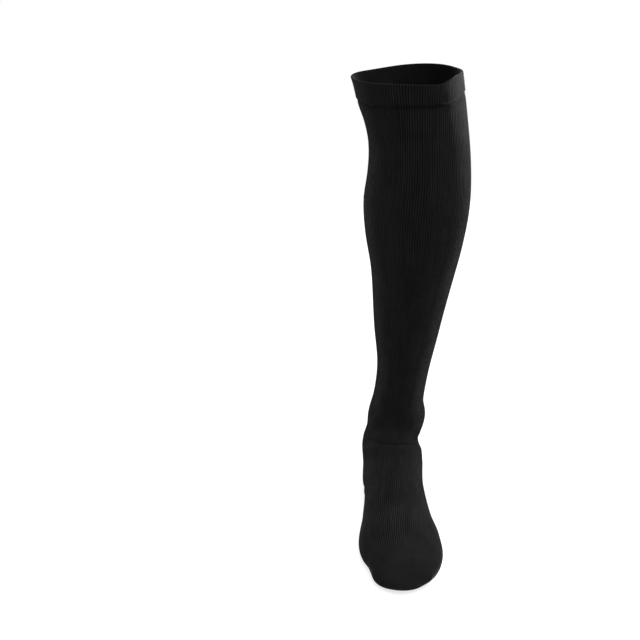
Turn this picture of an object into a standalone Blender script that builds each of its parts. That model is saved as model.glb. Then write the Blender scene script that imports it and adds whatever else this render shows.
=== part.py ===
# Knee-high compression stocking as it is worn: a hollow knitted tube with a doubled welt,
# a ribbed leg and instep, and plain heel, sole and toe.
#
# Sizes in the tables are millimetres. A foot in the stocking would stand on z = 0 with its
# toes to -Y and its little toe to +X; at the end everything is moved so that the origin is
# the middle of the welt, where the leg holds the stocking.
#
# The cloth is a surface with two coordinates: "down", the distance in millimetres from the
# top edge along the middle of the leg and foot, and "turn", 0 at the shin and instep,
# 0.25 at the little toe's side, 0.5 at the calf and sole, back to 1 at the shin.

import math

import bmesh
import bpy
import numpy as np

MM = 0.001

# ---- driving sizes, mm ----
SHIN_LEAN = 16.1          # degrees that the shin leans forward over the foot
LEAN_FROM = 65            # height where the lean begins, inside the ankle
LEAN_FULL = 140           # height above which all of the leg leans
LEAN_PIVOT = 95           # height of the ankle joint
TOP_RISE = 4              # how much higher the top edge is on the outer side
RISE_REACH = 60           # the rise fades over this height
ARCH_REACH = 45           # height that the inner arch lifts
ARCH_SHAPE = 3            # the higher, the nearer the arch keeps to the inner side

WELT_LENGTH = 20          # doubled top band
WELT_WALL = 1.8           # from the tube's outside in
WELT_PROUD = 0.4          # the doubled band stands out of the tube
WELT_ROLL = 0.8           # rounding of the turned top edge
LEG_WALL = 1.3
FOOT_WALL = 1.6           # heel, sole and toe are knitted with a heavier yarn
RIB_COUNT = 144           # ribs round the whole tube
RIB_HEIGHT = 0.5          # from valley to crest
RIB_FADE = (590, 611)     # down the foot, the ribs sink into the plain toe
RIB_SPREAD = 1.5          # past the heel the instep's ribs reach so much further round,
SPREAD_END = 530          # all of it from here on
SECTORS = 48              # columns of the plain inside, 3 ribs to each
SEAM_GAP = 0.4            # room between pieces, measured down the middle
GIRTH_STEPS = 240         # steps in which a section's girth is measured
SLOPE_DOWN, SLOPE_TURN = 2.0, 0.006  # steps over which the cloth's slope is read

HEEL_TURNS = (0.25, 0.75)  # the heel pocket takes the back half of the tube
LEG_RINGS = 9             # even steps down the leg as far as the low shin
LOW_SHIN = 335
ANKLE = 364
LEG_END = 391             # down to the ankle bones
HEEL_END = 484            # the pocket reaches to the hollow of the sole
HEEL_GIRTH = 290          # mean girth there, which makes the seam's gap a share of a turn
FOOT_RINGS = 5            # even steps from the heel pocket to the toe
TOE_START = 612
TOE_RINGS = 4             # even steps of the toe, before its last two
TIP_LENGTH = 5            # last ring gap of the toe
NOSE_WALL = 2.5           # the inside ends this much sooner

HOLD = (-8, -98, 454)     # middle of the welt, which becomes the origin

# One row for each section. The section's plane holds the X direction and the line from
# its front point (shin, instep) to its back point (calf, heel, sole).
COLUMNS = ("front_y", "front_z", "back_y", "back_z", "half_width", "shift",
           "front_share", "front_round", "back_round", "arch", "slant")
SECTIONS = {
    #            front       back        half   to     share of  roundness   arch  toe
    #            y     z     y     z     width  outer  front     front back  lift  slant
    "top":      (-50.5, 480, 62,   480,  51,   -12.5,  0.50,     2.0,  2.0,  0,    0),
    "band":     (-45.5, 446, 55.5, 446,  48.5,  -2,    0.50,     2.0,  2.0,  0,    0),
    "under":    (-50.5, 407, 57,   407,  48,     6,    0.50,     2.0,  2.0,  0,    0),
    "calf":     (-54,  358,  62,   358,  52.5,   6,    0.49,     2.0,  2.0,  0,    0),
    "lowcalf":  (-49.5, 290, 60,   290,  44,     7.5,  0.49,     2.0,  2.0,  0,    0),
    "midshin":  (-42.5, 220, 41,   220,  35.5,   5,    0.50,     2.0,  2.0,  0,    0),
    "lowshin":  (-38.5, 161, 39,   161,  28.5,   4,    0.51,     2.0,  2.0,  0,    0),
    "ankle":    (-37,  121,  32.5, 115,  29,     1.5,  0.52,     2.0,  2.0,  0,    0),
    "bones":    (-42.5, 94,  33.5, 82,   31.5,   0.5,  0.54,     2.0,  2.0,  0,    0),
    "heeltop":  (-51,  84,   39.5, 55,   30,    -5.5,  0.58,     2.0,  2.0,  0,    0),
    "heelback": (-59.5, 76,  47.5, 28,   35,    -3,    0.60,     2.0,  2.2,  0,    0),
    "heellow":  (-67.5, 72,  44,   5,    35,    -2,    0.61,     2.0,  2.5,  0,    0),
    "heelpad":  (-76,  69,   22,  -2,    35,    -2.5,  0.62,     2.0,  2.8,  2,    0),
    "archback": (-87,  63,  -12,  -2,    34.5,  -3.5,  0.62,     2.0,  2.8,  10,   0),
    "instep":   (-102, 56.5, -52, -2,    34,    -2.5,  0.63,     2.0,  2.8,  14,   0.05),
    "midfoot":  (-123, 47,  -90.5, -2,   36.5,  -2.5,  0.65,     2.0,  2.9,  8,    0.12),
    "ball":     (-153, 40.5, -140, -3,   41,    -2.5,  0.63,     2.1,  3.0,  0,    0.20),
    "toes":     (-183, 31,  -174.5, -3,  35,     1.5,  0.55,     2.1,  2.8,  0,    0.26),
    "toeend":   (-199, 24.5, -198.5, 0,  25,     1.5,  0.52,     2.1,  2.4,  0,    0.28),
    "tip":      (-205, 19,  -207,  5,    17.5,   3,    0.50,     2.0,  2.0,  0,    0.28),
    "nose":     (-211, 13.5, -209.5, 8.5, 9.5,   1,    0.50,     2.0,  2.0,  0,    0.28),
}

# Low swellings and troughs of the cloth. Height is out of the surface, so a trough's is
# negative; reach is how far it spreads down the stocking, width how far round it.
FOLDS = {
    #                    down  turn  height reach width
    "outer ankle bone": (399, 0.235, 3.0, 15, 0.055),
    "inner ankle bone": (390, 0.775, 3.0, 15, 0.055),
    "ankle crease":     (417, 0.000, -1.8, 4, 0.150),
    "crease upper lip": (408, 0.000, 0.9, 5, 0.130),
    "crease lower lip": (426, 0.000, 1.1, 5, 0.140),
}

CLOTH_COLOUR = (0.010, 0.010, 0.011, 1)
CLOTH_ROUGHNESS = 0.85


def section_table():
    rows = np.array(list(SECTIONS.values()), float)
    middles = (rows[:, 0:2] + rows[:, 2:4]) / 2
    steps = np.linalg.norm(np.diff(middles, axis=0), axis=1)
    return np.concatenate([[0], np.cumsum(steps)]), rows


def smooth_step(value):
    value = np.clip(value, 0, 1)
    return value * value * (3 - 2 * value)


def sections_at(down):
    """Rows read from a smooth curve through the table, one for each value of down."""
    places, rows = section_table()
    gaps = np.diff(places)
    slopes = np.diff(rows, axis=0) / gaps[:, None]
    tangents = np.empty_like(rows)
    tangents[1:-1] = ((gaps[1:, None] * slopes[:-1] + gaps[:-1, None] * slopes[1:])
                      / (gaps[:-1] + gaps[1:])[:, None])
    tangents[0] = 1.5 * slopes[0] - 0.5 * tangents[1]
    tangents[-1] = 1.5 * slopes[-1] - 0.5 * tangents[-2]
    index = np.clip(np.searchsorted(places, down, side="right") - 1, 0, len(gaps) - 1)
    part = ((down - places[index]) / gaps[index])[:, None]
    gap = gaps[index][:, None]
    values = (rows[index] * (1 + 2 * part) * (1 - part) ** 2
              + tangents[index] * gap * part * (1 - part) ** 2
              + rows[index + 1] * part ** 2 * (3 - 2 * part)
              + tangents[index + 1] * gap * part ** 2 * (part - 1))
    return {name: values[:, number:number + 1] for number, name in enumerate(COLUMNS)}


def section_points(down, angles):
    """Points of whole sections, at angles from the front, before the shin leans."""
    row = sections_at(down)
    front = np.hstack([row["front_y"], row["front_z"]])
    axis = front - np.hstack([row["back_y"], row["back_z"]])
    depth = np.linalg.norm(axis, axis=1, keepdims=True)
    axis = axis / depth
    widest = front - axis * depth * row["front_share"]
    along, across = np.cos(angles), np.sin(angles)
    roundness = np.where(along >= 0, row["front_round"], row["back_round"])
    reach = depth * np.where(along >= 0, row["front_share"], 1 - row["front_share"])
    x = row["half_width"] * np.sign(across) * abs(across) ** (2 / roundness)
    ahead = reach * np.sign(along) * abs(along) ** (2 / roundness)
    y = widest[:, :1] + axis[:, :1] * ahead + row["slant"] * x
    z = widest[:, 1:] + axis[:, 1:] * ahead
    inner_side = np.clip(0.5 - 0.5 * x / row["half_width"], 0, 1)
    z = z + row["arch"] * inner_side ** ARCH_SHAPE * np.clip(1 - z / ARCH_REACH, 0, 1)
    rising = np.clip((z - (SECTIONS["top"][1] - RISE_REACH)) / RISE_REACH, 0, 1)
    z = z + TOP_RISE * x / SECTIONS["top"][4] * rising
    return np.stack([x + row["shift"], y, z], axis=-1)


def lean(points):
    """Tips the leg forward at the ankle and flattens what would go below the floor."""
    amount = math.radians(SHIN_LEAN) * smooth_step(
        (points[..., 2] - LEAN_FROM) / (LEAN_FULL - LEAN_FROM))
    y, z = points[..., 1], points[..., 2] - LEAN_PIVOT
    leaned = np.stack([points[..., 0],
                       y * np.cos(amount) - z * np.sin(amount),
                       y * np.sin(amount) + z * np.cos(amount) + LEAN_PIVOT], axis=-1)
    leaned[..., 2] = np.maximum(leaned[..., 2], 0)
    return leaned


def smooth_cloth(down, turns):
    """Points at equal shares of each section's girth: turn 0 to 1 from the front."""
    angles = np.linspace(0, 2 * math.pi, GIRTH_STEPS, endpoint=False)
    loops = section_points(down, angles)
    closed = np.concatenate([loops, loops[:, :1]], axis=1)
    sides = np.linalg.norm(np.diff(closed, axis=1), axis=2)
    lengths = np.concatenate([np.zeros((len(down), 1)), np.cumsum(sides, axis=1)], axis=1)
    points = np.empty((len(down), turns.shape[1], 3))
    for row in range(len(down)):
        wanted = (turns[row] % 1) * lengths[row, -1]
        for axis in range(3):
            points[row, :, axis] = np.interp(wanted, lengths[row], closed[row, :, axis])
    return lean(points)


def outward(down, turns):
    """Unit vectors out of the cloth, from its slopes down and round the stocking."""
    last = section_table()[0][-1]
    before = smooth_cloth(np.maximum(down - SLOPE_DOWN, 0), turns)
    after = smooth_cloth(np.minimum(down + SLOPE_DOWN, last), turns)
    left = smooth_cloth(down, turns - SLOPE_TURN)
    right = smooth_cloth(down, turns + SLOPE_TURN)
    normal = np.cross(after - before, right - left)
    return normal / np.linalg.norm(normal, axis=-1, keepdims=True)


def fold_height(down, turns):
    height = np.zeros(turns.shape)
    for place, turn, rise, reach, width in FOLDS.values():
        round_it = (turns - turn + 0.5) % 1 - 0.5
        height += rise * np.exp(-((down[:, None] - place) / reach) ** 2 / 2
                                - (round_it / width) ** 2 / 2)
    return height


def rib_height(down, turns):
    """Ribs as a zigzag: valleys at whole ribs, crests half way between."""
    phase = (turns * RIB_COUNT) % 1
    zigzag = 1 - 4 * abs(phase - 0.5)
    ending = 1 - smooth_step((down - RIB_FADE[0]) / (RIB_FADE[1] - RIB_FADE[0]))
    return RIB_HEIGHT / 2 * zigzag * ending[:, None]


def cloth(down, turns, height):
    """Points of the cloth, height millimetres out of its smooth outside."""
    height = height + fold_height(down, turns)
    points = smooth_cloth(down, turns) + outward(down, turns) * height[..., None]
    points[..., 2] = np.maximum(points[..., 2], 0)
    return points


def outer_turns(ribbed_turns):
    """The outside's columns: two to a rib where there are ribs, else one to a sector."""
    turns, ribbed = [], []
    per_sector = 2 * RIB_COUNT // SECTORS
    for sector in range(SECTORS):
        middle = ((sector + 0.5) / SECTORS + 0.5) % 1 - 0.5
        has_ribs = abs(middle) < ribbed_turns
        count = per_sector if has_ribs else 1
        for column in range(count):
            turns.append((sector + column / count) / SECTORS)
            ribbed.append(1.0 if has_ribs else 0.0)
    return np.array(turns), np.array(ribbed)


class Wall:
    """A piece of cloth as a closed solid: a dense outside, a plain inside and its edges.

    rows: (down outside, down inside, depth of the outside) for each ring of points.
    ribbed_turns: ribs lie within this share of the girth to each side of the front.
    keep: says of each row gap and sector whether the cloth is there.
    place: gives the turns at which each ring's columns lie, where they aren't even.
    """

    def __init__(self, rows, wall, ribbed_turns=0.0, keep=lambda gap, sector: True,
                 place=lambda down, turns: turns):
        self.mesh = bmesh.new()
        self.turns, ribbed = outer_turns(ribbed_turns)
        self.starts = [int(np.argmin(abs(self.turns - sector / SECTORS)))
                       for sector in range(SECTORS)] + [len(self.turns)]
        outside = np.array([row[0] for row in rows], float)
        inside = np.array([row[1] for row in rows], float)
        depth = np.array([row[2] for row in rows], float)
        columns = np.tile(self.turns, (len(rows), 1))
        sectors = np.tile(np.arange(SECTORS) / SECTORS, (len(rows), 1))
        ribs = rib_height(outside, columns) * ribbed
        self.outside = self.add_points(
            cloth(outside, place(outside, columns), ribs - depth[:, None]))
        self.inside = self.add_points(cloth(inside, place(inside, sectors), -wall))
        self.kept = {(gap, sector) for gap in range(len(rows) - 1)
                     for sector in range(SECTORS) if keep(gap, sector)}
        for gap, sector in sorted(self.kept):
            self.add_cell(gap, sector)

    def add_points(self, points):
        return [[self.mesh.verts.new((point - HOLD) * MM) for point in ring]
                for ring in points]

    def span(self, row, sector):
        """The outside's points along one sector's edge, both ends included."""
        ring = self.outside[row]
        return [ring[column % len(ring)]
                for column in range(self.starts[sector], self.starts[sector + 1] + 1)]

    def add_cell(self, gap, sector):
        """One row gap of one sector: outside, inside, and an edge where the cloth ends."""
        upper, lower = self.span(gap, sector), self.span(gap + 1, sector)
        for column in range(len(upper) - 1):
            self.mesh.faces.new((upper[column], lower[column],
                                 lower[column + 1], upper[column + 1]))
        after = (sector + 1) % SECTORS
        in_up, in_low = self.inside[gap], self.inside[gap + 1]
        self.mesh.faces.new((in_up[sector], in_up[after], in_low[after], in_low[sector]))
        if (gap - 1, sector) not in self.kept:
            self.mesh.faces.new(upper + [in_up[after], in_up[sector]])
        if (gap + 1, sector) not in self.kept and not self.is_nose(gap + 1):
            self.mesh.faces.new(lower[::-1] + [in_low[sector], in_low[after]])
        if (gap, (sector - 1) % SECTORS) not in self.kept:
            self.mesh.faces.new((upper[0], in_up[sector], in_low[sector], lower[0]))
        if (gap, after) not in self.kept:
            self.mesh.faces.new((upper[-1], lower[-1], in_low[after], in_up[after]))

    def is_nose(self, row):
        return False

    def finish(self, name):
        loose = [vert for vert in self.mesh.verts if not vert.link_faces]
        bmesh.ops.delete(self.mesh, geom=loose, context="VERTS")
        bmesh.ops.recalc_face_normals(self.mesh, faces=self.mesh.faces)
        data = bpy.data.meshes.new(name)
        self.mesh.to_mesh(data)
        self.mesh.free()
        data.shade_smooth()
        data.set_sharp_from_angle(angle=math.radians(50))
        piece = bpy.data.objects.new(name, data)
        bpy.context.scene.collection.objects.link(piece)
        piece.data.materials.append(knit_material(name))
        return piece


class ToeWall(Wall):
    """A wall whose last rings are closed, outside and inside."""

    def is_nose(self, row):
        return row == len(self.outside) - 1

    def close(self):
        for ring in (self.outside[-1], self.inside[-1]):
            half = len(ring) // 2
            for column in range(half):
                low, high = ring[-column], ring[-column - 1]
                face = [ring[column], ring[column + 1], high, low]
                corners = [vert for place, vert in enumerate(face)
                           if vert not in face[:place]]
                self.mesh.faces.new(corners)


def knit_material(name):
    material = bpy.data.materials.new("knit_" + name)
    material.use_nodes = True
    shader = material.node_tree.nodes["Principled BSDF"]
    shader.inputs["Base Color"].default_value = CLOTH_COLOUR
    shader.inputs["Roughness"].default_value = CLOTH_ROUGHNESS
    shader.inputs["Metallic"].default_value = 0.0
    return material


def stations(start, end, count):
    return [start + (end - start) * step / count for step in range(count + 1)]


def plain_rows(places):
    return [(place, place, 0) for place in places]


def build_welt():
    """Doubled band with a rounded, turned top edge."""
    rows = [(0, WELT_ROLL, WELT_ROLL - WELT_PROUD),
            (WELT_ROLL, 2 * WELT_ROLL, -WELT_PROUD),
            (WELT_LENGTH, WELT_LENGTH, -WELT_PROUD)]
    return Wall(rows, WELT_WALL, ribbed_turns=0.5).finish("welt")


def build_leg():
    places = stations(WELT_LENGTH + SEAM_GAP, LOW_SHIN, LEG_RINGS) + [ANKLE, LEG_END]
    return Wall(plain_rows(places), LEG_WALL, ribbed_turns=0.5).finish("leg")


def ankle_places():
    """Rings of the fan round the heel, with three along the crease."""
    return [LEG_END + SEAM_GAP, 408, 417, 425, 433, 441, 450, 462, HEEL_END]


def build_heel():
    """Cup over the back half of the fan, a seam's gap inside the foot's edges."""
    first, last = HEEL_TURNS

    def short_of_foot(down, turns):
        inset = SEAM_GAP / HEEL_GIRTH
        return np.clip(turns, first + inset, last - inset)

    def keep(gap, sector):
        return first <= sector / SECTORS and (sector + 1) / SECTORS <= last

    places = ankle_places()[:-1] + [HEEL_END - SEAM_GAP]
    return Wall(plain_rows(places), FOOT_WALL, keep=keep, place=short_of_foot).finish("heel")


def build_foot():
    """Ribbed instep that runs up to the leg, joined to a plain sole in front of the heel."""
    first, last = HEEL_TURNS
    fan = ankle_places()

    def spread(down, turns):
        """Past the heel the ribbed half widens and the plain one narrows."""
        side = (turns + 0.5) % 1 - 0.5
        spreading = smooth_step((down[:, None] - HEEL_END) / (SPREAD_END - HEEL_END))
        edge = first * (1 + (RIB_SPREAD - 1) * spreading)
        ribbed_part = side * edge / first
        plain_part = np.sign(side) * (0.5 - (0.5 - abs(side)) * (0.5 - edge) / (0.5 - first))
        return np.where(abs(side) <= first, ribbed_part, plain_part)

    def keep(gap, sector):
        in_heel = first <= sector / SECTORS and (sector + 1) / SECTORS <= last
        return gap >= len(fan) - 1 or not in_heel

    places = fan + stations(HEEL_END, TOE_START - SEAM_GAP, FOOT_RINGS)[1:]
    return Wall(plain_rows(places), FOOT_WALL, ribbed_turns=first, keep=keep,
                place=spread).finish("foot")


def build_toe():
    nose = section_table()[0][-1]
    tip = nose - TIP_LENGTH
    rows = plain_rows(stations(TOE_START, tip - TIP_LENGTH, TOE_RINGS))
    rows += [(tip, tip - NOSE_WALL, 0), (nose, nose - NOSE_WALL, 0)]
    toe = ToeWall(rows, FOOT_WALL)
    toe.close()
    return toe.finish("toe")


def main():
    for item in list(bpy.data.objects):
        bpy.data.objects.remove(item, do_unlink=True)
    build_welt()
    build_leg()
    build_heel()
    build_foot()
    build_toe()


main()
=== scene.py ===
# A knee-high compression stocking as it is worn: the knitted cloth, its creases and seams.
import math

import bmesh
import bpy
import numpy as np
from mathutils import Matrix, Vector


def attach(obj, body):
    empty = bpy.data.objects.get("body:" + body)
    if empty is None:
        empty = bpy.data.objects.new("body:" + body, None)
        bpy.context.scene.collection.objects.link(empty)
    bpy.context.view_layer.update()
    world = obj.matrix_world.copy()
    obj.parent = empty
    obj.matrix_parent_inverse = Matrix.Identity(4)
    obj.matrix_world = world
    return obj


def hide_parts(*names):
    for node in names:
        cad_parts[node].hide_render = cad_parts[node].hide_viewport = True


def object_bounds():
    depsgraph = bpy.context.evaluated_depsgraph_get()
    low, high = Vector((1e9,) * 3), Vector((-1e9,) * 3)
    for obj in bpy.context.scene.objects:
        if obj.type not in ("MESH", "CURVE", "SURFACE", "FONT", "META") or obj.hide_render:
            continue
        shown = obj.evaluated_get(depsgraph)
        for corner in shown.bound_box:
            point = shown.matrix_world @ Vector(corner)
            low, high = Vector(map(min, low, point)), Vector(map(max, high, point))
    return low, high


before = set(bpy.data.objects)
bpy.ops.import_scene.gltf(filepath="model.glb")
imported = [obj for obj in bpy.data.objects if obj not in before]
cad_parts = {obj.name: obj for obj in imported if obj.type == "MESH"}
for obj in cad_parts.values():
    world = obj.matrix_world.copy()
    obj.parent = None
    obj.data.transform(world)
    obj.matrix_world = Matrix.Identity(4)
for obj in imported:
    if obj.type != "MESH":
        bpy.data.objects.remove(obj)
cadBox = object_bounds()
print("frame loaded:", sorted(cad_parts))

mm = 0.001

# The camera stands in front of the stocking, a little below its top edge.
camera = {
    "place": (-0.0531, -0.6242, -0.0740),
    "turnLeft": 2.447,          # degrees
    "lookDown": 13.321,
    "roll": 0.659,
    "lens": 35.83,
    "sensor": 36,
    "nearest": 0.01,            # metres; nothing closer is drawn
}


def makeCamera():
    turn, tilt, roll = (math.radians(camera[name]) for name in ("turnLeft", "lookDown", "roll"))
    ahead = Vector((-math.sin(turn) * math.cos(tilt), math.cos(turn) * math.cos(tilt),
                    -math.sin(tilt)))
    right = Vector((math.cos(turn), math.sin(turn), 0))
    up = right.cross(ahead)
    rolledRight = right * math.cos(roll) + up * math.sin(roll)
    rolledUp = up * math.cos(roll) - right * math.sin(roll)
    data = bpy.data.cameras.new("camera")
    data.lens, data.sensor_width = camera["lens"], camera["sensor"]
    data.clip_start = camera["nearest"]
    seer = bpy.data.objects.new("camera", data)
    axes = Matrix((rolledRight, rolledUp, -ahead)).transposed().to_4x4()
    seer.matrix_world = Matrix.Translation(camera["place"]) @ axes
    bpy.context.scene.collection.objects.link(seer)
    bpy.context.scene.camera = seer


makeCamera()
print("camera placed")

# The cloth has two coordinates. "down" is the distance in millimetres from the top edge
# along the middle of the leg and foot. "turn" is 0 at the shin and instep, 0.25 at the
# little toe's side, 0.5 at the calf and sole and -0.25 at the big toe's side.
form = {
    "shinLean": 16.1,           # degrees that the shin leans over the foot
    "leanFrom": 65,             # it begins at this height above the sole, mm,
    "leanFull": 140,            # is full at this one
    "leanPivot": 95,            # and turns about this one
    "topRise": 4,               # the top edge is this much higher on the outer side
    "riseReach": 60,            # and level again this far below it
    "archReach": 45,            # height up to which the inner arch lifts
    "archShape": 3,             # how soon the lift ends towards the little toe's side
    "hold": (-8, -98, 454),     # middle of the top band, which is the frame's origin
    "girthSteps": 480,          # points that a section's girth is measured over
    "areaSteps": 60,            # points each way that an area is measured over
    "slopeDown": 2.0,           # steps over which the cloth's slope is read, mm
    "slopeTurn": 0.006,         # and turns
    "noseLength": 1.8,          # rounding ahead of the last section
    "noseFrom": 62,             # degrees of the rounding already reached there
    "noseSides": 48,            # points round the last section that give its middle
    "heelTurn": 0.25,           # the heel pocket takes the back half of the tube
    "heelEnd": 484,             # mm down
    "ribSpread": 1.5,           # past the heel the instep's ribs reach further round,
    "spreadEnd": 530,           # by this share in full from here, mm down
}
# Ribs run straight where the leg and the toes bend aside: mm down where they begin to
# drift and where they are there, and the drift in turns at the front.
ribDrifts = {
    #                  begin full  drift
    "under the band": ( 73,    0,  0.038),
    "over the toes":  (552,  622, -0.034),
}
driftShape = 1.3                # 1 for a steady drift, more for one that starts gently
# The ribs also wander a little, in waves laid over each other.
wander = 0.0005                 # turns to each side
wanderReach = 83                # mm down the stocking from one bend to the next
wanderWaves = {
    #        share pace start rounds
    "long":  (0.6, 1.0,   0,   3),
    "short": (0.4, 1.7,   1,   7),
}
# Edges that aren't quite level, in mm and turns: the edge's place down, how far the bend
# reaches down the cloth, its turn, how far it shifts the edge (up is negative) and its width.
edgeBends = {
    #                          edge reach  turn  shift  width
    "band's hem, outer front": (20,   8,  0.190, -3.4, 0.045),
    "band's hem, shin":        (20,   8,  0.060,  1.4, 0.030),
    "band's hem, inner front": (20,   8, -0.140,  0.5, 0.050),
    "band's hem, calf":        (20,   8,  0.440,  1.1, 0.080),
    "band's hem, inner back":  (20,   8, -0.340, -0.9, 0.060),
    "top edge, outer front":   ( 0,  14,  0.080,  4.0, 0.030),
    "top edge, shin":          ( 0,  14,  0.015,  1.6, 0.030),
    "top edge, outer side":    ( 0,  14,  0.290,  1.2, 0.045),
    "top edge, inner side":    ( 0,  14, -0.210, -0.5, 0.050),
    "top edge, calf":          ( 0,  14, -0.420,  1.4, 0.060),
}
sectionColumns = ("frontY", "frontZ", "backY", "backZ", "halfWidth", "shift",
                  "frontShare", "frontRound", "backRound", "arch", "slant")
# Sections of the leg and foot in mm, from the top edge to the tip of the toe.
sections = {
    #            front       back        half   to     share of  roundness   arch  toe
    #            y     z     y     z     width  outer  front     front back  lift  slant
    "top":      (-50.5, 480, 62,   480,  51,   -12.5,  0.50,     2.0,  2.0,  0,    0),
    "band":     (-45.5, 446, 55.5, 446,  48.5,  -2,    0.50,     2.0,  2.0,  0,    0),
    "under":    (-50.5, 407, 57,   407,  48,     6,    0.50,     2.0,  2.0,  0,    0),
    "calf":     (-54,  358,  62,   358,  52.5,   6,    0.49,     2.0,  2.0,  0,    0),
    "lowCalf":  (-49.5, 290, 60,   290,  44,     7.5,  0.49,     2.0,  2.0,  0,    0),
    "midShin":  (-42.5, 220, 41,   220,  35.5,   5,    0.50,     2.0,  2.0,  0,    0),
    "lowShin":  (-38.5, 161, 39,   161,  28.5,   4,    0.51,     2.0,  2.0,  0,    0),
    "ankle":    (-37,  121,  32.5, 115,  29,     1.5,  0.52,     2.0,  2.0,  0,    0),
    "bones":    (-42.5, 94,  33.5, 82,   31.5,   0.5,  0.54,     2.0,  2.0,  0,    0),
    "heelTop":  (-51,  84,   39.5, 55,   30,    -5.5,  0.58,     2.0,  2.0,  0,    0),
    "heelBack": (-59.5, 76,  47.5, 28,   35,    -3,    0.60,     2.0,  2.2,  0,    0),
    "heelLow":  (-67.5, 72,  44,   5,    35,    -2,    0.61,     2.0,  2.5,  0,    0),
    "heelPad":  (-76,  69,   22,  -2,    35,    -2.5,  0.62,     2.0,  2.8,  2,    0),
    "archBack": (-87,  63,  -12,  -2,    34.5,  -3.5,  0.62,     2.0,  2.8,  10,   0),
    "instep":   (-102, 56.5, -52, -2,    34,    -2.5,  0.63,     2.0,  2.8,  14,   0.05),
    "midFoot":  (-123, 47,  -90.5, -2,   36.5,  -2.5,  0.65,     2.0,  2.9,  8,    0.12),
    "ball":     (-153, 40.5, -140, -3,   41,    -2.5,  0.63,     2.1,  3.0,  0,    0.20),
    "toes":     (-183, 31,  -174.5, -3,  35,     1.5,  0.55,     2.1,  2.8,  0,    0.26),
    "toeEnd":   (-199, 24.5, -198.5, 0,  25,     1.5,  0.52,     2.1,  2.4,  0,    0.28),
    "tip":      (-205, 19,  -207,  5,    17.5,   3,    0.50,     2.0,  2.0,  0,    0.28),
    "nose":     (-211, 13.5, -209.5, 8.5, 9.5,   1,    0.50,     2.0,  2.0,  0,    0.28),
}
sectionSizes = np.array(list(sections.values()), float)
middles = (sectionSizes[:, 0:2] + sectionSizes[:, 2:4]) / 2
stations = np.concatenate([[0], np.cumsum(np.linalg.norm(np.diff(middles, axis=0), axis=1))])
noseDown = stations[-1]


def smoothStep(value):
    value = np.clip(value, 0, 1)
    return value * value * (3 - 2 * value)


def turnsFrom(middle, turn):
    # The shorter way round the tube.
    return (turn - middle + 0.5) % 1 - 0.5


def sectionAt(down):
    # The sizes there, from a smooth curve through the table's rows.
    gaps = np.diff(stations)
    slopes = np.diff(sectionSizes, axis=0) / gaps[:, None]
    tangents = np.empty_like(sectionSizes)
    tangents[1:-1] = ((gaps[1:, None] * slopes[:-1] + gaps[:-1, None] * slopes[1:])
                      / (gaps[:-1] + gaps[1:])[:, None])
    tangents[0] = 1.5 * slopes[0] - 0.5 * tangents[1]
    tangents[-1] = 1.5 * slopes[-1] - 0.5 * tangents[-2]
    row = int(np.clip(np.searchsorted(stations, down, side="right") - 1, 0, len(gaps) - 1))
    part = (down - stations[row]) / gaps[row]
    sizes = (sectionSizes[row] * (1 + 2 * part) * (1 - part) ** 2
             + tangents[row] * gaps[row] * part * (1 - part) ** 2
             + sectionSizes[row + 1] * part ** 2 * (3 - 2 * part)
             + tangents[row + 1] * gaps[row] * part ** 2 * (part - 1))
    return dict(zip(sectionColumns, sizes))


def sectionLoop(down):
    # Points round one section before the shin leans, counted from the front.
    angles = np.linspace(0, 2 * math.pi, form["girthSteps"] + 1)
    size = sectionAt(down)
    front = np.array([size["frontY"], size["frontZ"]])
    axis = front - np.array([size["backY"], size["backZ"]])
    depth = np.linalg.norm(axis)
    axis = axis / depth
    widest = front - axis * depth * size["frontShare"]
    along, across = np.cos(angles), np.sin(angles)
    roundness = np.where(along >= 0, size["frontRound"], size["backRound"])
    reach = depth * np.where(along >= 0, size["frontShare"], 1 - size["frontShare"])
    x = size["halfWidth"] * np.sign(across) * abs(across) ** (2 / roundness)
    ahead = reach * np.sign(along) * abs(along) ** (2 / roundness)
    y = widest[0] + axis[0] * ahead + size["slant"] * x
    z = widest[1] + axis[1] * ahead
    innerSide = np.clip(0.5 - 0.5 * x / size["halfWidth"], 0, 1)
    z = z + (size["arch"] * innerSide ** form["archShape"]
             * np.clip(1 - z / form["archReach"], 0, 1))
    rising = np.clip((z - (sections["top"][1] - form["riseReach"])) / form["riseReach"], 0, 1)
    z = z + form["topRise"] * x / sections["top"][4] * rising
    return np.stack([x + size["shift"], y, z], axis=-1)


def lean(points):
    amount = math.radians(form["shinLean"]) * smoothStep(
        (points[:, 2] - form["leanFrom"]) / (form["leanFull"] - form["leanFrom"]))
    y, z = points[:, 1], points[:, 2] - form["leanPivot"]
    leaned = np.stack([points[:, 0], y * np.cos(amount) - z * np.sin(amount),
                       y * np.sin(amount) + z * np.cos(amount) + form["leanPivot"]], axis=-1)
    leaned[:, 2] = np.maximum(leaned[:, 2], 0)
    return leaned


def smoothCloth(down, turn):
    # Points at equal shares of each section's girth; one section serves 0.01 mm.
    points = np.empty((len(down), 3))
    places, group = np.unique(np.round(down, 2), return_inverse=True)
    order = np.argsort(group, kind="stable")
    starts = np.searchsorted(group[order], np.arange(len(places) + 1))
    for number, place in enumerate(places):
        chosen = order[starts[number]:starts[number + 1]]
        loop = sectionLoop(place)
        sides = np.linalg.norm(np.diff(loop, axis=0), axis=1)
        lengths = np.concatenate([[0], np.cumsum(sides)])
        wanted = (turn[chosen] % 1) * lengths[-1]
        for axis in range(3):
            points[chosen, axis] = np.interp(wanted, lengths, loop[:, axis])
    return lean(points)


def outward(down, turn):
    before = smoothCloth(np.maximum(down - form["slopeDown"], 0), turn)
    after = smoothCloth(np.minimum(down + form["slopeDown"], noseDown), turn)
    left = smoothCloth(down, turn - form["slopeTurn"])
    right = smoothCloth(down, turn + form["slopeTurn"])
    normal = np.cross(after - before, right - left)
    return normal / np.linalg.norm(normal, axis=-1, keepdims=True)


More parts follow.
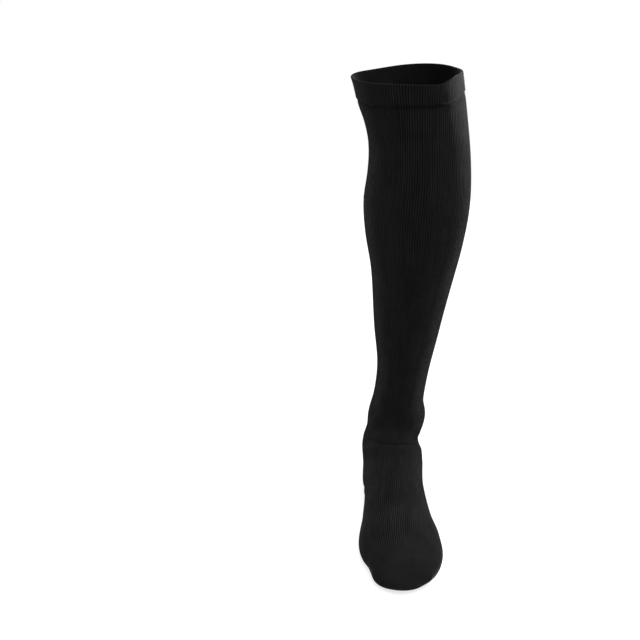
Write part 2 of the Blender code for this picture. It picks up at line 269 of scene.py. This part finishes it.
def stray(down, turn):
    # Knitted columns never run quite straight on a leg.
    wave = 2 * math.pi * down / wanderReach
    return wander * sum(share * np.sin(pace * wave + start + 2 * math.pi * rounds * turn)
                        for share, pace, start, rounds in wanderWaves.values())


def bendEdges(down, turn):
    bent = down.copy()
    for edge, reach, at, shift, width in edgeBends.values():
        bent += (shift * np.exp(-(turnsFrom(at, turn) / width) ** 2 / 2)
                 * smoothStep(1 - abs(down - edge) / reach))
    return bent


def ribTurns(down, column):
    # Past the heel the ribbed half of the tube widens and the plain half narrows.
    atFront = 0.5 + 0.5 * np.cos(2 * math.pi * column)
    drifted = sum(drift * np.clip((down - begin) / (full - begin), 0, 1) ** driftShape
                  for begin, full, drift in ribDrifts.values())
    side = turnsFrom(0, column + drifted * atFront)
    first = form["heelTurn"]
    spreading = smoothStep((down - form["heelEnd"]) / (form["spreadEnd"] - form["heelEnd"]))
    edge = first * (1 + (form["ribSpread"] - 1) * spreading)
    plainPart = np.sign(side) * (0.5 - (0.5 - abs(side)) * (0.5 - edge) / (0.5 - first))
    return np.where(abs(side) <= first, side * edge / first, plainPart)


def clothPoints(down, turn, lift):
    # Metres in the frame, lift millimetres out of the cloth; past noseDown the tip closes.
    onCloth = bendEdges(np.minimum(down, noseDown), turn)
    turn = turn + stray(onCloth, turn)
    points = smoothCloth(onCloth, turn) + outward(onCloth, turn) * lift[:, None]
    closing = np.clip((down - noseDown) / form["noseLength"], 0, 1)
    if closing.any():
        ring = np.arange(form["noseSides"]) / form["noseSides"]
        atNose = np.full(len(ring), noseDown)
        loop = smoothCloth(atNose, ring) + outward(atNose, ring) * lift[closing > 0].mean()
        middle = loop.mean(axis=0)
        size = sectionAt(noseDown)
        ahead = np.array([0, size["backZ"] - size["frontZ"], size["frontY"] - size["backY"]])
        ahead = ahead / np.linalg.norm(ahead)
        start = math.radians(form["noseFrom"])
        angle = start + closing * (math.pi / 2 - start)
        shrink = np.cos(angle) / math.cos(start)
        reach = form["noseLength"] * (np.sin(angle) - math.sin(start)) / (1 - math.sin(start))
        closed = middle + (points - middle) * shrink[:, None] + ahead * reach[:, None]
        points = np.where(closing[:, None] > 0, closed, points)
    points[:, 2] = np.maximum(points[:, 2], 0)
    return (points - form["hold"]) * mm


# Ribs, creases and swellings, all as heights out of the smooth cloth in millimetres.
ribs = {
    "count": 144,
    "height": 0.5,              # from valley to crest
    "phases": (0, 0.18, 0.5, 0.82, 1),      # places across one rib
    "profile": (-1, 0.55, 1, 0.55, -1),     # from valley to crest and back
    "fadeFrom": 592,            # down the foot they sink into the plain toe
    "fadeTo": 618,
}
creaseColumns = ("down", "turn", "height", "reach", "width", "slope")
# In mm and turns; the slope is in mm down for each turn.
creases = {
    #                            down   turn  height reach width slope
    "outer ankle bone":         (  399,  0.235,  3.00, 15.0, 0.055,   0),
    "inner ankle bone":         (  390, -0.225,  3.00, 15.0, 0.055,   0),
    "ankle crease":             (  417,  0.000, -1.80,  4.0, 0.150,   0),
    "crease upper lip":         (  408,  0.000,  0.90,  5.0, 0.130,   0),
    "crease lower lip":         (  426,  0.000,  1.10,  5.0, 0.140,   0),
    "band fold":                ( 14.5,  0.075, -0.50,  1.0, 0.024, -10),
    "hem tuck, outer front":    ( 22.1,  0.115, -0.60,  1.0, 0.035,   0),
    # soft unevenness of the sides
    "inner side of the top":    (    0, -0.255, -2.00,  9.0, 0.080,   0),
    "inner side of the band":   (   26, -0.250,  0.90,  7.0, 0.070,   0),
    "inner side of the knee":   (   80, -0.250,  1.10, 11.0, 0.070,   0),
    "inner side of the calf":   (  166, -0.250,  1.10, 17.0, 0.070,   0),
    "outer side of the calf":   (  176,  0.250,  1.00, 17.0, 0.070,   0),
    "outer side of the shin":   (  302,  0.240,  1.20, 36.0, 0.070,   0),
    "over the outer bone":      (  373,  0.235,  1.20,  7.0, 0.050,   0),
    "under the outer bone":     (  393,  0.230, -1.50,  6.0, 0.050,   0),
    "outer side of the bend":   (  410,  0.220,  1.70,  5.5, 0.050,   0),
    "outer side of the instep": (  444,  0.195,  1.10,  9.0, 0.045,   0),
    "inner side of the tendon": (  376, -0.265,  1.20,  9.0, 0.050,   0),
    "over the inner heel":      (  397, -0.275, -1.00,  5.0, 0.050,   0),
    "inner heel":               (  416, -0.280,  1.60,  7.0, 0.050,   0),
    # finer ones in the bend of the ankle
    "bend line":                (417.5,  0.045, -1.30,  1.2, 0.070,  10),
    "bend line's lip":          (421.5,  0.045,  0.90,  1.3, 0.070,   9),
    "second bend line":         (428.5, -0.030, -0.50,  1.5, 0.040,  -8),
    "second line's lip":        (432.5, -0.025,  0.35,  1.6, 0.045,  -6),
    "short inner fold":         (  395, -0.105, -1.10,  1.8, 0.028,  40),
    "short fold's lip":         (399.5, -0.100,  0.90,  1.7, 0.026,  36),
    "outer bend fold":          (  411,  0.205, -0.80,  2.6, 0.040, -60),
    "outer fold's lip":         (  418,  0.210,  0.50,  2.4, 0.035, -55),
    "inner bend fold":          (  421, -0.175, -0.70,  2.4, 0.045,  50),
    # instep
    "instep pull":              (  519, -0.055, -0.55,  1.8, 0.030,  30),
    "instep pull's lip":        (  514, -0.010,  0.35,  1.8, 0.030,  25),
    "low instep pull":          (  570, -0.080, -0.45,  1.9, 0.028, -30),
    "outer instep pull":        (  548,  0.130, -0.35,  2.4, 0.035,  40),
    "arch fold":                (  498, -0.300, -0.80,  3.0, 0.045, -70),
    "arch fold's lip":          (  507, -0.310,  0.50,  3.2, 0.040, -65),
    "low arch fold":            (  531, -0.330, -0.50,  2.6, 0.035, -60),
    # toe
    "toe ripple, inner":        (  622, -0.120, -0.35,  1.2, 0.035,   0),
    "toe ripple, middle":       (624.5,  0.030,  0.35,  1.1, 0.025,   0),
    "toe ripple, outer":        (  620,  0.150, -0.30,  1.3, 0.040,   0),
    "beside the big toe":       (  603, -0.262, -1.20,  5.0, 0.045,   0),
    "big toe":                  (  621, -0.276,  1.20,  6.0, 0.045,   0),
    "little toe":               (  620,  0.225,  1.20,  7.0, 0.045,   0),
    "under the little toe":     (  639,  0.340, -1.00,  5.0, 0.050,   0),
    # Achilles tendon and heel
    "tendon fold, upper":       (  352,  0.480, -0.70,  3.0, 0.060,  30),
    "tendon fold, middle":      (  368,  0.530, -0.90,  2.6, 0.070, -25),
    "middle fold's lip":        (  374,  0.525,  0.60,  2.8, 0.060, -20),
    "tendon fold, low":         (  383,  0.460, -0.60,  2.4, 0.045,  35),
    "heel fold, outer":         (  409,  0.350, -0.70,  2.6, 0.035, -70),
    "heel fold, inner":         (  405, -0.370, -0.60,  2.4, 0.040,  60),
    # behind the knee, under the band
    "knee fold, outer":         (   33,  0.430, -0.60,  2.6, 0.050,  20),
    "knee fold, middle":        (   42,  0.520, -0.80,  3.2, 0.070, -15),
    "middle knee lip":          (   48,  0.515,  0.50,  3.4, 0.065, -15),
    "knee fold, inner":         (   55, -0.410, -0.50,  2.8, 0.045,  25),
}


def creaseHeight(down, turn):
    height = np.zeros(len(down))
    for sizes in creases.values():
        crease = dict(zip(creaseColumns, sizes))
        aside = turnsFrom(crease["turn"], turn)
        off = down - crease["down"] - crease["slope"] * aside
        height += crease["height"] * np.exp(-(off / crease["reach"]) ** 2 / 2
                                            - (aside / crease["width"]) ** 2 / 2)
    return height


def ribHeight(down, turn, ribbedTo):
    phase = (turn * ribs["count"]) % 1
    ending = 1 - smoothStep((down - ribs["fadeFrom"]) / (ribs["fadeTo"] - ribs["fadeFrom"]))
    onRibs = abs(turn) <= ribbedTo
    return ribs["height"] / 2 * np.interp(phase, ribs["phases"], ribs["profile"]) * ending * onRibs


allRound = 0.5                  # turns from the front to the back


def clothColumns(ribbedTo):
    # Turns from the back round the front to the back again: four columns to a rib.
    turns = []
    half = ribs["count"] // 2
    for rib in range(-half, half):
        phases = ribs["phases"][:-1] if abs(rib + 0.5) / ribs["count"] < ribbedTo else (0,)
        turns += [(rib + phase) / ribs["count"] for phase in phases]
    return np.array(turns + [allRound])


def evenRows(*stops):
    # Places down the stocking: each stop after the first gives an end and a step.
    rows = [stops[0]]
    for end, step in stops[1:]:
        start = rows[-1]
        count = max(1, round((end - start) / step))
        rows += [start + (end - start) * (number + 1) / count for number in range(count)]
    return np.array(rows)


weld = 1e-6                     # metres; points closer than this become one
sharpFrom = 55                  # degrees; a sharper edge isn't shaded smooth


def knitPiece(name, turns, outside, inside, ribbedTo, cutOut=None):
    # outside and inside: one (down, lift) for each row of points.
    outside, inside = np.array(outside, float), np.array(inside, float)
    mesh = bmesh.new()
    bmesh.ops.create_grid(mesh, x_segments=len(turns) - 1, y_segments=len(outside) - 1, size=0.5)
    columnLayer = mesh.verts.layers.int.new("column")
    rowLayer = mesh.verts.layers.int.new("row")
    for vert in mesh.verts:
        vert[columnLayer] = round((vert.co.x + 0.5) * (len(turns) - 1))
        vert[rowLayer] = round((vert.co.y + 0.5) * (len(outside) - 1))
    if cutOut:
        gone = [face for face in mesh.faces
                if cutOut(np.mean([outside[vert[rowLayer], 0] for vert in face.verts]),
                          np.mean([turns[vert[columnLayer]] for vert in face.verts]))]
        bmesh.ops.delete(mesh, geom=gone, context="FACES")
    uvLayer = mesh.loops.layers.uv.new("cloth")
    for face in mesh.faces:
        for loop in face.loops:
            loop[uvLayer].uv = (turns[loop.vert[columnLayer]] * ribs["count"],
                                outside[loop.vert[rowLayer], 0])

    def place(verts, rows, ribbed):
        row = np.array([vert[rowLayer] for vert in verts])
        column = turns[[vert[columnLayer] for vert in verts]]
        down = rows[row, 0]
        turn = ribTurns(down, column)
        lift = rows[row, 1] + creaseHeight(down, turn)
        if ribbed:
            lift = lift + ribHeight(down, column, ribbedTo)
        for vert, point in zip(verts, clothPoints(down, turn, lift)):
            vert.co = point

    place(mesh.verts[:], outside, True)
    bmesh.ops.remove_doubles(mesh, verts=mesh.verts[:], dist=weld)
    wall = bmesh.ops.extrude_face_region(mesh, geom=mesh.faces[:], use_keep_orig=True)
    place([item for item in wall["geom"] if isinstance(item, bmesh.types.BMVert)], inside, False)
    bmesh.ops.remove_doubles(mesh, verts=mesh.verts[:], dist=weld)
    bmesh.ops.recalc_face_normals(mesh, faces=mesh.faces[:])
    data = bpy.data.meshes.new(name)
    mesh.to_mesh(data)
    mesh.free()
    data.shade_smooth()
    data.set_sharp_from_angle(angle=math.radians(sharpFrom))
    piece = bpy.data.objects.new(name, data)
    bpy.context.scene.collection.objects.link(piece)
    return piece


def wornArea(downFrom, downTo, turnFrom, turnTo):
    # Square metres of smooth cloth between these edges.
    steps = form["areaSteps"]
    downs, turns = np.linspace(downFrom, downTo, steps), np.linspace(turnFrom, turnTo, steps)
    grid = np.meshgrid(downs, turns, indexing="ij")
    points = smoothCloth(grid[0].ravel(), grid[1].ravel()).reshape(steps, steps, 3)
    down, across = np.diff(points, axis=0)[:, :-1], np.diff(points, axis=1)[:-1]
    return np.linalg.norm(np.cross(down, across), axis=-1).sum() * mm * mm


def girth(down):
    loop = sectionLoop(down)
    return np.linalg.norm(np.diff(loop, axis=0), axis=1).sum()


# Knitted of black polyamide round elastane: the yarn is matt, with a faint halo of loose
# fibre ends that lightens the cloth where it turns away from the eye.
finish = {
    "roughness": 0.8,
    "specular": 0.0,            # all its gloss is the halo's
    "sheenRoughness": 0.3,
    "course": 1.3,              # mm; the real rows of stitches are 0.8 mm, too fine to show
    "walesPerRib": 2,
    "waleCrown": 2.4,           # how far a wale falls off to its sides
    "stitchDepth": 0.05,        # mm
    "stitchBump": 0.6,
    "valleyShadeShape": 2.5,         # more for narrower painted shade in the valleys between the ribs
    "ribPatch": 60,             # mm along a rib over which its tone changes
    "ribDetail": 2.0,
    "cloudScale": 55.0,         # per metre, for faint clouds of about 18 mm
    "cloudDetail": 4.0,
    "wornFrom": 0.7,            # of the two noises' sum, which runs from 0 to 2
    "wornTo": 1.3,
    "plainShare": 0.75,         # how far the plain knit hides its own columns
    "stretchDown": 220,         # mm down, the middle of the stretched calf and shin
    "stretchReach": 130,
    "stretchOpens": 0.6,        # share of the valleys' painted shade that is lost there
    "seamDown": 19.6,           # mm down, the painted shade in the groove where the band is joined on
    "seamReach": 2.4,
    "seamShadeDepth": 0.55,          # how far the painted shade darkens it to the valleys' tone
}
# The foot has less of a halo, and its yarn is painted a touch lighter to make up the light that
# the halo gives the leg.
tones = {
    "leg":  {"yarn": "111111", "valley": "020202", "worn": "171717", "sheen": 0.12},
    "foot": {"yarn": "131313", "valley": "020202", "worn": "1a1a1a", "sheen": 0.06},
}


def linearColour(text):
    parts = [int(text[place:place + 2], 16) / 255 for place in (0, 2, 4)]
    return (*(part / 12.92 if part <= 0.04045 else ((part + 0.055) / 1.055) ** 2.4
              for part in parts), 1)


def addNode(tree, kind, settings=None, **links):
    node = tree.nodes.new(kind)
    for name, value in (settings or {}).items():
        if name in node.inputs and not hasattr(node, name):
            node.inputs[name].default_value = value
        else:
            setattr(node, name, value)
    for name, source in links.items():
        socket = node.inputs[int(name[5:])] if name.startswith("input") else node.inputs[name]
        if isinstance(source, (int, float)):
            socket.default_value = source
        else:
            tree.links.new(source, socket)
    return node


def knitSteps(ribbed):
    # Each step: its name, what it does, and numbers or earlier steps to do it with.
    # "across" counts ribs round the tube and "down" is in mm.
    meanValleyShade = 1 / (finish["valleyShadeShape"] + 1)
    return (
        # each wale is a column of V stitches
        ("wales", "MULTIPLY", "across", finish["walesPerRib"]),
        ("inWale", "FRACT", "wales"),
        ("fromWale", "SUBTRACT", "inWale", 0.5),
        ("arm", "ABSOLUTE", "fromWale"),
        ("courses", "DIVIDE", "down", finish["course"]),
        ("slanted", "ADD", "courses", "arm"),
        ("around", "MULTIPLY", "slanted", 2 * math.pi),
        ("stitch", "SINE", "around"),
        ("crown", "MULTIPLY", "arm", finish["waleCrown"]),
        ("stitchHeight", "SUBTRACT", "stitch", "crown"),
        # painted shade: the valleys between ribs are darker
        ("inRib", "FRACT", "across"),
        ("fromRib", "SUBTRACT", "inRib", 0.5),
        ("offRib", "ABSOLUTE", "fromRib"),
        ("edge", "MULTIPLY", "offRib", 2),
        ("hollow", "POWER", "edge", finish["valleyShadeShape"]),
        # and even out to their mean tone where the ribs sink into the plain knit
        ("pastFade", "SUBTRACT", "down", ribs["fadeFrom"]),
        ("faded", "DIVIDE", "pastFade", ribs["fadeTo"] - ribs["fadeFrom"]),
        ("plain", "MAXIMUM", "faded", 0.0 if ribbed else finish["plainShare"]),
        ("plainPart", "MINIMUM", "plain", finish["plainShare"]),
        ("ribbedPart", "SUBTRACT", 1, "plainPart"),
        ("offMean", "SUBTRACT", "hollow", meanValleyShade),
        ("evened", "MULTIPLY", "offMean", "ribbedPart"),
        # the calf stretches the ribs open to the light, so their valleys' painted shade is weaker
        # there
        ("fromCalf", "SUBTRACT", "down", finish["stretchDown"]),
        ("calfShare", "DIVIDE", "fromCalf", finish["stretchReach"]),
        ("calfSquare", "MULTIPLY", "calfShare", "calfShare"),
        ("calfFall", "MULTIPLY", "calfSquare", -1),
        ("onCalf", "EXPONENT", "calfFall"),
        ("opened", "MULTIPLY", "onCalf", finish["stretchOpens"]),
        ("narrow", "SUBTRACT", 1, "opened"),
        ("relief", "MULTIPLY", "evened", "narrow"),
        ("tucked", "ADD", "relief", meanValleyShade),
        # painted shade in the groove where the band is joined on
        ("offSeam", "SUBTRACT", "down", finish["seamDown"]),
        ("seamShare", "DIVIDE", "offSeam", finish["seamReach"]),
        ("seamSquare", "MULTIPLY", "seamShare", "seamShare"),
        ("seamFall", "MULTIPLY", "seamSquare", -1),
        ("seamLine", "EXPONENT", "seamFall"),
        ("seamTone", "MULTIPLY", "seamLine", finish["seamShadeDepth"]),
        ("valley", "MAXIMUM", "tucked", "seamTone"),
        # each rib takes the light a little differently
        ("rib", "FLOOR", "across"),
        ("alongRib", "DIVIDE", "down", finish["ribPatch"]),
    )


def knitMaterial(name, ribbed, tone):
    material = bpy.data.materials.new(name)
    material.use_nodes = True
    tree = material.node_tree
    shader = tree.nodes["Principled BSDF"]
    shader.inputs["Roughness"].default_value = finish["roughness"]
    shader.inputs["Specular IOR Level"].default_value = finish["specular"]
    shader.inputs["Sheen Weight"].default_value = tone["sheen"]
    shader.inputs["Sheen Roughness"].default_value = finish["sheenRoughness"]
    cloth = addNode(tree, "ShaderNodeUVMap", {"uv_map": "cloth"}).outputs["UV"]
    split = addNode(tree, "ShaderNodeSeparateXYZ", Vector=cloth)
    known = {"across": split.outputs["X"], "down": split.outputs["Y"]}
    for step, operation, *sources in knitSteps(ribbed):
        links = {f"input{place}": known.get(source, source)
                 for place, source in enumerate(sources)}
        known[step] = addNode(tree, "ShaderNodeMath", {"operation": operation}, **links).outputs[0]
    bump = addNode(tree, "ShaderNodeBump", {"Strength": finish["stitchBump"]},
                   Height=known["stitchHeight"])
    # the stitch's wave runs from -1 to 1
    bump.inputs["Distance"].default_value = finish["stitchDepth"] * mm / 2
    tree.links.new(bump.outputs["Normal"], shader.inputs["Normal"])
    patch = addNode(tree, "ShaderNodeCombineXYZ", X=known["rib"], Y=known["alongRib"])
    ribNoise = addNode(tree, "ShaderNodeTexNoise",
                       {"noise_dimensions": "2D", "Scale": 1.0, "Detail": finish["ribDetail"]},
                       Vector=patch.outputs[0])
    place = addNode(tree, "ShaderNodeTexCoord").outputs["Object"]
    cloudNoise = addNode(tree, "ShaderNodeTexNoise",
                         {"Scale": finish["cloudScale"], "Detail": finish["cloudDetail"]},
                         Vector=place)
    # the plain knit shows no tones of its own ribs
    ribTone = addNode(tree, "ShaderNodeMix", {"data_type": "FLOAT"}, Factor=known["plainPart"],
                      input2=ribNoise.outputs["Fac"], input3=0.5)
    both = addNode(tree, "ShaderNodeMath", {"operation": "ADD"}, input0=ribTone.outputs[0],
                   input1=cloudNoise.outputs["Fac"])
    worn = addNode(tree, "ShaderNodeMapRange",
                   {"From Min": finish["wornFrom"], "From Max": finish["wornTo"]},
                   Value=both.outputs[0])
    yarn = addNode(tree, "ShaderNodeMix", {"data_type": "RGBA"}, Factor=worn.outputs["Result"])
    yarn.inputs[6].default_value = linearColour(tone["yarn"])
    yarn.inputs[7].default_value = linearColour(tone["worn"])
    # painted shade: the valleys between ribs and the groove under the band turn to the dark shade
    # tone
    shaded = addNode(tree, "ShaderNodeMix", {"data_type": "RGBA"}, Factor=known["valley"],
                     input6=yarn.outputs[2])
    shaded.inputs[7].default_value = linearColour(tone["valley"])
    tree.links.new(shaded.outputs[2], shader.inputs["Base Color"])
    return material


legKnit = knitMaterial("ribbedLegKnit", True, tones["leg"])
footKnit = knitMaterial("ribbedFootKnit", True, tones["foot"])
plainKnit = knitMaterial("plainFootKnit", False, tones["foot"])
print("knits coloured")

seamRoom = 0.05                 # mm between neighbouring pieces
relaxed = 0.75                  # girth of the stocking off the leg as a share of the worn one


def dress(piece, node, material, slot, *stretches):
    # Each stretch of the cut: down from and to, turn from and to.
    piece.data.materials.append(material)
    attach(piece, "root")
    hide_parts(node)
    width = relaxed * mm * max((turnTo - turnFrom) * max(girth(downFrom), girth(downTo))
                               for downFrom, downTo, turnFrom, turnTo in stretches)
    area = relaxed * sum(wornArea(*stretch) for stretch in stretches)
    # the heel is longer down its back than along the middle, which its area tells
    print(piece.name, "made:", len(piece.data.polygons), "faces")


welt = {
    "length": 20,
    "wall": 1.8,
    "proud": 0.4,               # the doubled band stands out of the tube
    "rollSteps": (84, 62, 40, 20, 0),   # degrees round the turned top edge
    "lowerRoll": 1.0,           # the lower edge rounds in to the leg
    "rollReach": 2.0,
    "overlap": 0.2,             # and reaches this far past its length
    "rowStep": 1.6,
    "rollStep": 0.25,
}


def makeWelt():
    radius = welt["wall"] / 2
    middle = welt["proud"] - radius
    outside, inside = [], []
    for angle in welt["rollSteps"]:
        turned = math.radians(angle)
        place = radius - radius * math.sin(turned)
        outside.append((place, middle + radius * math.cos(turned)))
        inside.append((place, middle - radius * math.cos(turned)))
    end = welt["length"] + welt["overlap"] - seamRoom
    turning = end - welt["rollReach"]
    for place in evenRows(radius, (turning, welt["rowStep"]), (end, welt["rollStep"]))[1:]:
        rolled = smoothStep((place - turning) / welt["rollReach"])
        outside.append((place, welt["proud"] - welt["lowerRoll"] * rolled))
        inside.append((place, welt["proud"] - welt["wall"]))
    piece = knitPiece("weltCloth", clothColumns(allRound), outside, inside, allRound)
    dress(piece, "welt", legKnit, "ribbed_knit", (0, welt["length"], -allRound, allRound))


leg = {
    "start": 18.7,              # tucked inside the band's wall
    "end": 391.2,
    "wall": 1.3,
    "groove": 0.5,              # the cloth sinks where the band is joined on
    "grooveReach": 2.6,
    # ends and steps of its rows, close where it creases and wide over the calf and shin
    "rows": ((26, 0.9), (62, 3), (330, 8), (346, 4)),
    "ankleStep": 1.8,
}


def makeLeg():
    rows = evenRows(leg["start"], *leg["rows"], (leg["end"], leg["ankleStep"]))
    groove = leg["groove"] * np.exp(-((rows - welt["length"]) / leg["grooveReach"]) ** 2)
    piece = knitPiece("legCloth", clothColumns(allRound), list(zip(rows, -groove)),
                      [(place, -leg["wall"]) for place in rows], allRound)
    dress(piece, "leg", legKnit, "ribbed_knit", (leg["start"], leg["end"], -allRound, allRound))


foot = {
    "wall": 1.6,
    "toeStart": 612,
    "rows": ((405, 1.6), (436, 1.0)),   # ends and steps, closest in the bend of the ankle
    "heelStep": 2.4,
    "footStep": 2,
}


def makeFoot():
    start = leg["end"] + seamRoom
    heelTurn, heelEnd = form["heelTurn"], form["heelEnd"]
    rows = evenRows(start, *foot["rows"], (heelEnd, foot["heelStep"]),
                    (foot["toeStart"] - seamRoom, foot["footStep"]))

    def cutOut(down, turn):
        return down < heelEnd and abs(turn) > heelTurn

    piece = knitPiece("footCloth", clothColumns(heelTurn), [(place, 0) for place in rows],
                      [(place, -foot["wall"]) for place in rows], heelTurn, cutOut)
    dress(piece, "foot", footKnit, "ribbed_knit",
          (start, heelEnd, -heelTurn, heelTurn),
          (heelEnd, foot["toeStart"], -allRound, allRound))


heel = {
    "girth": 290,               # mm; turns the seam's room into a share of a turn
    "rowStep": 1.6,
    "columns": 145,
}


def makeHeel():
    rows = evenRows(leg["end"] + seamRoom, (form["heelEnd"] - seamRoom, heel["rowStep"]))
    first = form["heelTurn"] + seamRoom / heel["girth"]
    piece = knitPiece("heelCloth", np.linspace(first, 1 - first, heel["columns"]),
                      [(place, 0) for place in rows],
                      [(place, -foot["wall"]) for place in rows], 0)
    dress(piece, "heel", plainKnit, "plain_knit", (rows[0], rows[-1], first, 1 - first))


toe = {
    "rowStep": 1.2,
    "tipReach": 8,              # the rows lie closer over this last stretch
    "tipStep": 0.8,
    "noseStep": 0.2,
}


def makeToe():
    rows = evenRows(foot["toeStart"], (noseDown - toe["tipReach"], toe["rowStep"]),
                    (noseDown, toe["tipStep"]), (noseDown + form["noseLength"], toe["noseStep"]))
    piece = knitPiece("toeCloth", clothColumns(form["heelTurn"]), [(place, 0) for place in rows],
                      [(place, -foot["wall"]) for place in rows], form["heelTurn"])
    dress(piece, "toe", plainKnit, "plain_knit",
          (foot["toeStart"], noseDown, -allRound, allRound))


makeWelt()
makeLeg()
makeFoot()
makeHeel()
makeToe()

# The floor is matt paper on a light table, so that hardly a shadow falls on it.
studio = {
    "floorRadius": 8.0,
    "floorSides": 96,
    "floorGap": 0.0004,         # below the sole
    "floorColour": "959595",
    "floorRoughness": 0.9,
    "floorSpecular": 0.1,
    "floorGlow": 0.72,
    "world": 1.0,
    "sunStrength": 3.7,
    "sunAngle": 40,             # degrees, for soft edges
    "sunAhead": 24,             # degrees that the sun stands before the stocking
    "sunAside": 9,              # and to its outer side
}
# Weak lamps behind the leg light its outer edge.
lamps = {
    #         place                 aim                  size  watts  spread
    "right": ((0.60, 1.05, -0.10),  (0.0, 0.03, -0.15),   0.4,  0.5,  60),
    "calf":  ((0.98, 0.66, 0.10),   (0.04, 0.02, 0.07),   0.15, 2.6,  13),
    "foot":  ((0.75, 0.60, 0.05),   (0.02, -0.10, -0.44), 0.15, 0.18, 13),
}


def makeStudio():
    scene = bpy.context.scene
    scene.view_settings.view_transform = "Standard"
    world = bpy.data.worlds.new("studio")
    world.use_nodes = True
    world.node_tree.nodes["Background"].inputs["Color"].default_value = (1, 1, 1, 1)
    world.node_tree.nodes["Background"].inputs["Strength"].default_value = studio["world"]
    scene.world = world
    lowest, highest = cadBox
    aim = (Vector(lowest) + Vector(highest)) / 2
    mesh = bmesh.new()
    bmesh.ops.create_circle(mesh, cap_ends=True, segments=studio["floorSides"],
                            radius=studio["floorRadius"])
    bmesh.ops.translate(mesh, verts=mesh.verts,
                        vec=(aim.x, aim.y, lowest[2] - studio["floorGap"]))
    data = bpy.data.meshes.new("floor")
    mesh.to_mesh(data)
    mesh.free()
    floor = bpy.data.objects.new("floor", data)
    scene.collection.objects.link(floor)
    paint = bpy.data.materials.new("floorPaper")
    paint.use_nodes = True
    shader = paint.node_tree.nodes["Principled BSDF"]
    shader.inputs["Base Color"].default_value = linearColour(studio["floorColour"])
    shader.inputs["Roughness"].default_value = studio["floorRoughness"]
    shader.inputs["Specular IOR Level"].default_value = studio["floorSpecular"]
    shader.inputs["Emission Color"].default_value = (1, 1, 1, 1)
    shader.inputs["Emission Strength"].default_value = studio["floorGlow"]
    data.materials.append(paint)
    for name, (place, target, size, watts, spread) in lamps.items():
        light = bpy.data.lights.new(name, "AREA")
        light.size, light.energy, light.spread = size, watts, math.radians(spread)
        lamp = bpy.data.objects.new(name, light)
        lamp.location = place
        lamp.rotation_euler = (Vector(target) - Vector(place)).to_track_quat("-Z", "Y").to_euler()
        lamp.visible_camera = False
        scene.collection.objects.link(lamp)
    sunLight = bpy.data.lights.new("sun", "SUN")
    sunLight.energy, sunLight.angle = studio["sunStrength"], math.radians(studio["sunAngle"])
    sun = bpy.data.objects.new("sun", sunLight)
    sun.rotation_euler = (math.radians(studio["sunAhead"]), math.radians(studio["sunAside"]), 0)
    scene.collection.objects.link(sun)


makeStudio()
print("studio lit")
